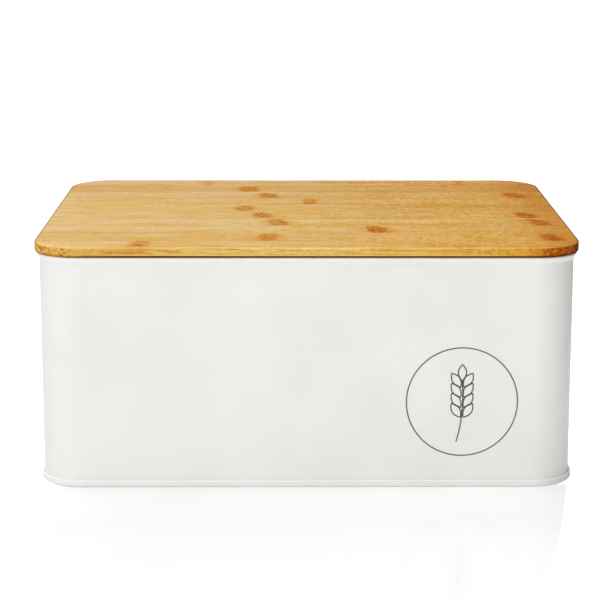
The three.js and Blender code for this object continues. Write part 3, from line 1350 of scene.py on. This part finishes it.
@dataclass
class BasePan:
    """The pressed base, with its raised panel and the outer layers of the double seam."""

    sheet: SheetSizes
    outline: Outline
    lift: float = 4.0
    bend: float = 1.2
    border: float = 14.0
    step_run: float = 2.5
    step_rise: float = 1.2
    step_ease: float = 0.7
    step_facets: int = 8
    lead: float = 3.0

    def section(self) -> list[Point2]:
        """Gives the pan's section.

        Returns:
            The section, from the middle of the panel out to the hook and back.
        """
        s = self.sheet
        border_height = self.lift + s.half
        panel_height = border_height + self.step_rise
        step_top = -self.border - self.step_run
        standing = s.half + s.fold
        line = [
            (step_top - self.lead, panel_height),
            *self._eased_step((step_top, panel_height), (-self.border, border_height)),
            *arc(s.riser_out - self.bend, border_height - self.bend, self.bend, 1, 0, s.fold_steps),
            *arc(s.riser_out + s.fold, standing, s.fold, 2, 3, s.fold_steps),
            *arc(s.outer_turn_out - s.fold, standing, s.fold, 3, 4, s.fold_steps),
            *arc(s.outer_turn_out - s.fold, s.pan_fold_height, s.fold, 0, 2, 2 * s.fold_steps),
            (s.pan_hook_out, s.wall_fold_height),
        ]
        return sheet_section(filled(line, s.spacing), s.thickness)

    def _eased_step(self, top: Point2, foot: Point2) -> list[Point2]:
        """Rounds the two bends of the stiffening step.

        Args:
            top: Upper end of the step.
            foot: Lower end of the step.

        Returns:
            Points from the panel down to the border.
        """
        shares = [i / self.step_facets for i in range(self.step_facets + 1)]
        reach = self.step_ease
        start, end = (top[0] - reach, top[1]), (foot[0] + reach, foot[1])
        return [(start[0] + (end[0] - start[0]) * t, start[1] + (end[1] - start[1]) * (3 * t * t - 2 * t ** 3))
                for t in shares]

    def build(self, coat: bpy.types.Material) -> None:
        """Builds the pan and hands it to the frame.

        Args:
            coat: Its finish.
        """
        s = self.sheet
        pan = finished_object("base_sheet", sweep(self.outline, self.section(), False, s.corner_steps, s.spacing))
        adopt(pan, Body.BOX, Slot.COAT, coat, "base_pan")


@dataclass
class LidPly:
    """One ply of the lid: a board with round edges, ripped into glued strips."""

    prefix: str
    slot: Slot
    count: int
    first_seed: int
    top_round: float
    under_round: float
    corner_radius: float
    finishes: dict[int, dict[str, object]] = field(default_factory=dict)
    shared: dict[str, object] = field(default_factory=dict)
    drop: float = 0.0
    joint_ease: float = 0.07
    steps: int = 32
    round_steps: int = 8
    spacing: float = 22.0
    cap_inset: float = 1.5

    def nodes(self) -> list[str]:
        """Names the ply's nodes, from the front to the back."""
        return [f"{self.prefix}_{i + 1:02d}" for i in range(self.count)]

    def limits(self) -> tuple[Vector, Vector]:
        """Finds the ply's place in the frame.

        Returns:
            Its lowest and highest corners, in millimetres.
        """
        boxes = [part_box(node) for node in self.nodes()]
        low = Vector(map(min, *(low for low, _ in boxes))) / MM
        high = Vector(map(max, *(high for _, high in boxes))) / MM
        return low, high

    def board(self, low: Vector, high: Vector) -> bmesh.types.BMesh:
        """Makes the whole board before it is ripped.

        Args:
            low: Its lowest corner.
            high: Its highest corner.

        Returns:
            The board's mesh.
        """
        outline = Outline(high.x - low.x, high.y - low.y, self.corner_radius)
        under = arc(-self.under_round, low.z + self.under_round, self.under_round, -1, 0, self.round_steps)
        over = arc(-self.top_round, high.z - self.top_round, self.top_round, 0, 1, self.round_steps)
        section = [(-self.under_round - self.cap_inset, low.z), *under, *over,
                   (-self.top_round - self.cap_inset, high.z)]
        return sweep(outline, section, False, self.steps, self.spacing)

    def ripped(self, board: bmesh.types.BMesh, front: float | None, back: float | None) -> bmesh.types.BMesh:
        """Cuts one strip out of a copy of the board, and eases the arrises of its sawn faces.

        Args:
            board: The whole board, which stays as it is.
            front: Where the strip starts in Y, or None for the board's own edge.
            back: Where it ends, or None for the board's own edge.

        Returns:
            The strip's mesh.
        """
        strip = board.copy()
        for place, outward in ((front, -1), (back, 1)):
            if place is None:
                continue
            everything = [*strip.verts, *strip.edges, *strip.faces]
            cut = bmesh.ops.bisect_plane(strip, geom=everything, plane_co=(0, place, 0),
                                         plane_no=(0, outward, 0), clear_outer=True)
            rim = [e for e in cut["geom_cut"] if isinstance(e, bmesh.types.BMEdge)]
            bmesh.ops.edgeloop_fill(strip, edges=rim)
            bmesh.ops.recalc_face_normals(strip, faces=strip.faces)
            bmesh.ops.bevel(strip, geom=rim, offset=self.joint_ease, segments=1, affect="EDGES")
        return strip

    def build(self, effects: SharedEffects) -> None:
        """Builds every strip and hands it to the frame.

        Args:
            effects: The shared node groups.
        """
        low, high = self.limits()
        low.z -= self.drop
        board = self.board(low, high)
        for i, node in enumerate(self.nodes()):
            strip_low, strip_high = (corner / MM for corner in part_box(node))
            front = strip_low.y if i else None
            back = strip_high.y if i + 1 < self.count else None
            name = node.replace("_strip_", "_bamboo_")
            piece = finished_object(name, self.ripped(board, front, back))
            finish = BambooStrip(name=name, seed=self.first_seed + i,
                                 front=strip_low.y, back=strip_high.y, foot=low.z,
                                 glued_front=front is not None, glued_back=back is not None,
                                 **self.shared, **self.finishes.get(i + 1, {}))
            adopt(piece, Body.LID, self.slot, finish.build(effects, -low.x), node)
        board.free()


@dataclass
class FrontPrint:
    """A printed ear of wheat in a ring, low on the right of the front."""

    face: float
    across: float = 86.5
    height: float = 49.0
    radius: float = 31.0
    ring_steps: int = 144
    line: float = 0.75
    film: float = 0.03
    stem_foot: Point2 = (-3.0, -23.0)
    stem_bend: Point2 = (1.5, -8.0)
    stem_top: Point2 = (0.0, 12.0)
    grain_length: float = 9.5
    grain_width: float = 4.6
    grain_fullness: float = 0.9
    grain_pairs: int = 4
    grain_pitch: float = 5.8
    first_grain: float = 0.6
    grain_lean: float = math.radians(33)
    steps: int = 24

    def ribbon(self, bm: bmesh.types.BMesh, line: Sequence[Point2], closed: bool) -> None:
        """Adds a thin raised line to the print.

        Args:
            bm: The print's mesh.
            line: The middle of the line, from the centre of the print.
            closed: Whether it closes on itself.
        """
        points = [Vector(point) for point in line]
        count = len(points)
        rings = []
        for i, point in enumerate(points):
            before = points[i - 1] if i or closed else point
            after = points[(i + 1) % count] if i + 1 < count or closed else point
            along = (after - before).normalized()
            side = Vector((-along.y, along.x)) * self.line / 2
            corners = [(point + side, 0.0), (point - side, 0.0), (point - side, self.film), (point + side, self.film)]
            rings.append([(self.across + p.x, self.face - rise, self.height + p.y) for p, rise in corners])
        join_rings(bm, rings, closed)

    def circle(self) -> list[Point2]:
        """Gives the ring round the ear."""
        angles = [TURN * i / self.ring_steps for i in range(self.ring_steps)]
        return [(self.radius * math.cos(a), self.radius * math.sin(a)) for a in angles]

    def grain(self, root: Point2, lean: float) -> list[Point2]:
        """Gives the outline of one grain, a pointed oval.

        Args:
            root: Where the grain sits on the stem.
            lean: Its lean from upright, towards the right.

        Returns:
            The outline.
        """
        shares = [i / self.steps for i in range(self.steps)]
        bulges = [math.sin(2 * QUARTER * t) ** self.grain_fullness for t in shares]
        right = [(self.grain_width / 2 * bulge, self.grain_length * t) for bulge, t in zip(bulges, shares)]
        left = [(-x, self.grain_length - y) for x, y in right]
        turn = Matrix.Rotation(-lean, 2)
        return [tuple(turn @ Vector(point) + Vector(root)) for point in right + left]

    def build(self, ink: bpy.types.Material) -> None:
        """Builds the print and hands it to the frame.

        Args:
            ink: Its finish.
        """
        bm = bmesh.new()
        self.ribbon(bm, self.circle(), True)
        self.ribbon(bm, curve(self.stem_foot, self.stem_bend, self.stem_top, self.steps), False)
        top = Vector(self.stem_top)
        self.ribbon(bm, self.grain(tuple(top), 0.0), True)
        for pair in range(self.grain_pairs):
            root = top - Vector((0, (pair + self.first_grain) * self.grain_pitch))
            for side in (-1, 1):
                start = root + Vector((side * self.line, 0))
                self.ribbon(bm, self.grain(tuple(start), side * self.grain_lean), True)
        bmesh.ops.recalc_face_normals(bm, faces=bm.faces)
        adopt(finished_object("front_print", bm), Body.BOX, Slot.COAT, ink)


FACE_FINISHES: dict[int, dict[str, object]] = {
    1: {
        "tone": 0.02,
        "cast": (1.03, 1.03, 1.03, 1.0),
        "knots": (Knot(60, 0.7, width=12, length=26),),
        "edge_stretches": (
            (-72.0, 55.0, (0.98, 0.90, 0.72, 1.0)),
            (-97.0, 20.0, (0.98, 0.90, 0.75, 1.0)),
            (14.0, 30.0, (1.07, 1.16, 1.55, 1.0)),
            (82.0, 40.0, (1.04, 1.08, 1.3, 1.0)),
        ),
    },
    2: {"cast": (1.01, 1.0, 0.91, 1.0), "knots": (Knot(130.5, 0.9), Knot(290, 1.15, -0.1))},
    3: {"tone": -0.02, "cast": (1.01, 1.03, 1.06, 1.0), "knots": (Knot(193.5, 1.6, -0.12),)},
    4: {"tone": -0.03, "cast": (1.02, 1.07, 1.14, 1.0), "knots": (Knot(136, 0.85, -0.25), Knot(289, 1.15, -0.3))},
    5: {"tone": -0.04, "knots": (Knot(126.5, 0.9, -0.2, across=-4.5), Knot(284, 1.15, -0.15))},
    6: {"tone": 0.05, "cast": (1.01, 1.02, 0.96, 1.0), "knots": (Knot(115, 0.75, width=13, across=-4.0),)},
    7: {"tone": 0.02, "knots": (Knot(155, 1.0, width=9, across=-4.0),)},
    8: {
        "tone": 0.03,
        "cast": (0.97, 0.97, 1.0, 1.0),
        "knots": (Knot(129.5, 1.0, -0.2, across=-4.5), Knot(285, 1.15, -0.2)),
    },
    9: {"tone": 0.06, "cast": (0.93, 0.87, 0.80, 1.0), "knots": (Knot(116, 1.1),)},
    10: {"tone": 0.03, "cast": (0.96, 0.95, 1.1, 1.0), "knots": (Knot(89, 0.4, width=7), Knot(254, 0.6, width=6))},
}

PLUG_FINISHES: dict[int, dict[str, object]] = {
    1: {"tone": -0.02, "knots": (Knot(212, 0.8),)},
    2: {"tone": 0.05, "knots": (Knot(70, 0.9, 0.15),)},
    3: {"tone": -0.04, "knots": (Knot(158, 0.6),)},
    4: {"tone": 0.02, "knots": (Knot(245, 0.9, -0.2), Knot(28, 0.5))},
    5: {"tone": -0.03, "knots": (Knot(104, 1.0),)},
    6: {"tone": 0.04, "knots": (Knot(190, 0.7, 0.2),)},
    7: {"knots": (Knot(52, 0.8),)},
    8: {"tone": -0.05, "knots": (Knot(233, 0.9),)},
    9: {"tone": 0.03, "knots": (Knot(131, 0.7, -0.15),)},
}

# The plug ply takes none of the painted shade at the corner, the underside and the ends.
NO_CORNER_UNDER_OR_END_SHADE: dict[str, object] = dict.fromkeys(("corner_edge_shade", "corner_shade", "underside", "end_arris_shade"), WHITE)


# Studio


@dataclass(frozen=True)
class ViewPoint:
    """Where the camera stands, in millimetres and degrees, and its lens in pixels of the picture."""

    place: tuple[float, float, float] = (-8.7, -1142.2, 337.1)
    yaw: float = 0.48
    pitch: float = 11.03
    roll: float = 0.1
    focal_pixels: float = 1907.6
    shift_pixels: float = -59.7

    def build(self) -> bpy.types.Object:
        """Makes the camera.

        Returns:
            The camera.
        """
        yaw, pitch, roll = (math.radians(angle) for angle in (self.yaw, self.pitch, self.roll))
        forward = Vector((math.sin(yaw) * math.cos(pitch), math.cos(yaw) * math.cos(pitch), -math.sin(pitch)))
        level = Vector((math.cos(yaw), -math.sin(yaw), 0))
        upright = level.cross(forward)
        right = level * math.cos(roll) + upright * math.sin(roll)
        up = upright * math.cos(roll) - level * math.sin(roll)
        data = bpy.data.cameras.new("camera")
        data.sensor_width = SENSOR_MM
        data.lens = self.focal_pixels * SENSOR_MM / PICTURE_PIXELS
        data.shift_y = self.shift_pixels / PICTURE_PIXELS
        camera = bpy.data.objects.new("camera", data)
        bpy.context.scene.collection.objects.link(camera)
        turn = Matrix((right, up, -forward)).transposed().to_4x4()
        camera.matrix_world = Matrix.Translation(Vector(self.place) * MM) @ turn
        return camera


@dataclass(frozen=True)
class SoftLight:
    """One rectangular studio light, in metres, aimed at the middle of the box."""

    name: str
    place: tuple[float, float, float]
    size: tuple[float, float]
    power: float
    target: tuple[float, float, float] = (0.0, 0.0, 0.07)

    def build(self) -> None:
        """Makes the light."""
        data = bpy.data.lights.new(self.name, "AREA")
        data.shape = "RECTANGLE"
        data.size, data.size_y = self.size
        data.energy = self.power
        light = bpy.data.objects.new(self.name, data)
        bpy.context.scene.collection.objects.link(light)
        light.location = self.place
        aim = Vector(self.target) - Vector(self.place)
        light.rotation_euler = aim.to_track_quat("-Z", "Y").to_euler()


@dataclass(frozen=True)
class Surround:
    """The surround: white to look at, and as a source of light dim on the right and low behind.

    Each step runs along the axis of the direction that its name ends in.
    """

    front: float = 0.65
    turn_y: Step = (0.35, -0.35)
    behind_z: Step = (0.17, 0.29, 0.05, 1.25)
    left_x: Step = (-0.3, -0.9, 1.0, 0.75)
    right_x: Step = (-0.1, 0.85, 1.0, 0.14)

    def build(self, scene: bpy.types.Scene) -> None:
        """Makes the surround.

        Args:
            scene: The scene that it lights.
        """
        scene.world = bpy.data.worlds.new("surround")
        scene.world.use_nodes = True
        scene.world.node_tree.nodes.clear()
        g = Graph(scene.world.node_tree)
        x, y, z = g.axes(g.node("ShaderNodeTexCoord").outputs["Generated"])
        turn = g.rise(y, *self.turn_y)
        behind = g.times(g.minus(1.0, turn), g.rise(z, *self.behind_z))
        sky = g.plus(g.times(turn, self.front), behind)
        strength = g.times(sky, g.times(g.rise(x, *self.left_x), g.rise(x, *self.right_x)))
        lighting, seen = (g.node("ShaderNodeBackground", {"Color": WHITE, "Strength": value}).outputs[0]
                          for value in (strength, 1.0))
        both = g.node("ShaderNodeMixShader", {0: g.when_seen(), 1: lighting, 2: seen})
        g.node("ShaderNodeOutputWorld", {"Surface": both.outputs[0]})


@dataclass(frozen=True)
class Floor:
    """The pale, slightly glossy floor, lit from below where nothing is mirrored in it.

    Each step whose name ends in x or y runs along that axis, in millimetres. A dim patch lies in front of
    the box, and spreads from its front corners; a faint painted light in it, stronger to the right and near the box,
    lifts the shade there.
    """

    half_metres: float = 6.0
    colour: Colour = srgb(231, 232, 233)
    left_colour: Colour = srgb(212, 213, 214)
    left_x: tuple[Step, Step] = ((-150.0, -165.0), (-280.0, -220.0))
    cloud_size: Size = (300.0, 300.0, 300.0)
    roughness: Step = (0.3, 0.7, 0.08, 0.12)
    patch_feet: tuple[float, float] = (-147.4, 146.4)
    patch_spreads: tuple[float, float] = (-0.135, 0.151)
    patch_reach: float = -500.0
    patch_blur: tuple[float, float] = (1.5, 40.0)
    patch_back_y: Step = (-118.0, -100.0)
    near_glow_x: Step = (-200.0, 160.0, 0.01, 0.11)
    contact_glow_y: Step = (-190.0, -120.0, 0.0, 0.09)
    far_glow: float = 1.0
    bounce_x: tuple[Step, Step] = ((140.0, 180.0), (400.0, 260.0))
    bounce_y: tuple[Step, Step] = ((-220.0, -120.0), (350.0, 200.0, 0.0, 0.32))

    def build(self) -> None:
        """Makes the floor and hands it to the frame."""
        bm = bmesh.new()
        bmesh.ops.create_grid(bm, x_segments=1, y_segments=1, size=self.half_metres / MM)
        floor = finished_object("studio_floor", bm)
        g = MaterialGraph("studio_floor")
        x, y, _ = g.axes(g.place)
        bounce = g.times(g.band(x, *self.bounce_x), g.band(y, *self.bounce_y))
        shown = g.minus(self._glow(g, x, y), bounce)
        floor.data.materials.append(g.shade({
            "Base Color": g.mix(g.band(x, *self.left_x), self.colour, self.left_colour),
            "Roughness": g.rise(g.noise(g.place, self.cloud_size), *self.roughness),
            "Emission Color": WHITE,
            "Emission Strength": g.math("MULTIPLY_ADD", shown, g.when_seen(), bounce),
        }))

    def _glow(self, g: Graph, x: Socket, y: Socket) -> Socket:
        """Gives the glow that the camera sees, which is full but for the patch.

        Args:
            g: The material's graph.
            x: The place in X.
            y: The place in Y.

        Returns:
            The glow's strength.
        """
        blur = g.rise(y, -BODY_FRONT, self.patch_reach, *self.patch_blur)
        beside = []
        for foot, spread, out in zip(self.patch_feet, self.patch_spreads, (-1.0, 1.0)):
            border = g.math("MULTIPLY_ADD", g.plus(y, BODY_FRONT), spread, foot)
            past = g.times(g.minus(x, border), out)
            beside.append(g.rise(past, g.times(blur, -1.0), blur))
        outside = g.math("MAXIMUM", g.plus(*beside), g.rise(y, *self.patch_back_y))
        # Painted light in the patch, stronger to the right and near the box, lifts the shade there.
        near_glow = g.plus(g.rise(x, *self.near_glow_x), g.rise(y, *self.contact_glow_y))
        return g.rise(outside, 0.0, 1.0, near_glow, self.far_glow)


@dataclass(frozen=True)
class Studio:
    """The camera, the lights, the white surround and the floor."""

    view: ViewPoint = ViewPoint()
    lights: tuple[SoftLight, ...] = (
        SoftLight("key_light", (-0.45, -1.85, 1.0), (1.6, 1.2), 16.6),
        SoftLight("top_light", (-0.4, -0.1, 2.0), (2.4, 1.6), 17.3),
        SoftLight("lid_light", (-0.5, 0.62, 0.42), (0.6, 0.4), 1.1, (-0.1, 0.0, 0.137)),
    )
    surround: Surround = Surround()
    floor: Floor = Floor()

    def build(self) -> None:
        """Makes everything round the object."""
        scene = bpy.context.scene
        scene.camera = self.view.build()
        for light in self.lights:
            light.build()
        scene.view_settings.view_transform = "Standard"
        self.surround.build(scene)
        self.floor.build()


@dataclass
class BreadBox:
    """The whole object."""

    overhang: float = 2.6
    corner_radius: float = 26.0
    plug_inset: float = 4.25
    lid_gap: float = 0.2
    lid_drop: float = 0.11

    def build(self) -> None:
        """Builds every piece, the box first."""
        effects = SharedEffects()
        coat = PowderCoat().build(effects)
        sheet = SheetSizes()
        low, high = (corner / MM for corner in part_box("side_wall"))
        reach = 2 * sheet.hem_reach
        body = Outline(high.x - low.x - reach, high.y - low.y - reach, self.corner_radius - self.overhang)
        SideWall(sheet, body, high.z - self.lid_gap).build(coat)
        BasePan(sheet, body).build(coat)
        FrontPrint(face=-body.depth / 2).build(PrintInk().build())
        face = LidPly("lid_face_strip", Slot.BAMBOO_FACE, count=10, first_seed=1, top_round=1.2, under_round=0.6,
                      corner_radius=self.corner_radius, drop=self.lid_drop, finishes=FACE_FINISHES)
        plug = LidPly("lid_plug_strip", Slot.BAMBOO_CORE, count=9, first_seed=21, top_round=0.2, under_round=1.0,
                      corner_radius=self.corner_radius - self.plug_inset, finishes=PLUG_FINISHES, shared=NO_CORNER_UNDER_OR_END_SHADE)
        face.build(effects)
        plug.build(effects)


def corners(box: Iterable[Vector]) -> list[list[float]]:
    """Gives a box's corners as plain lists of numbers."""
    return [list(corner) for corner in box]


def main() -> None:
    """Loads the frame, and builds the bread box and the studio."""
    logging.basicConfig(level=logging.INFO, format="%(name)s: %(message)s")
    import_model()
    BreadBox().build()
    Studio().build()


if __name__ == "__main__":
    main()
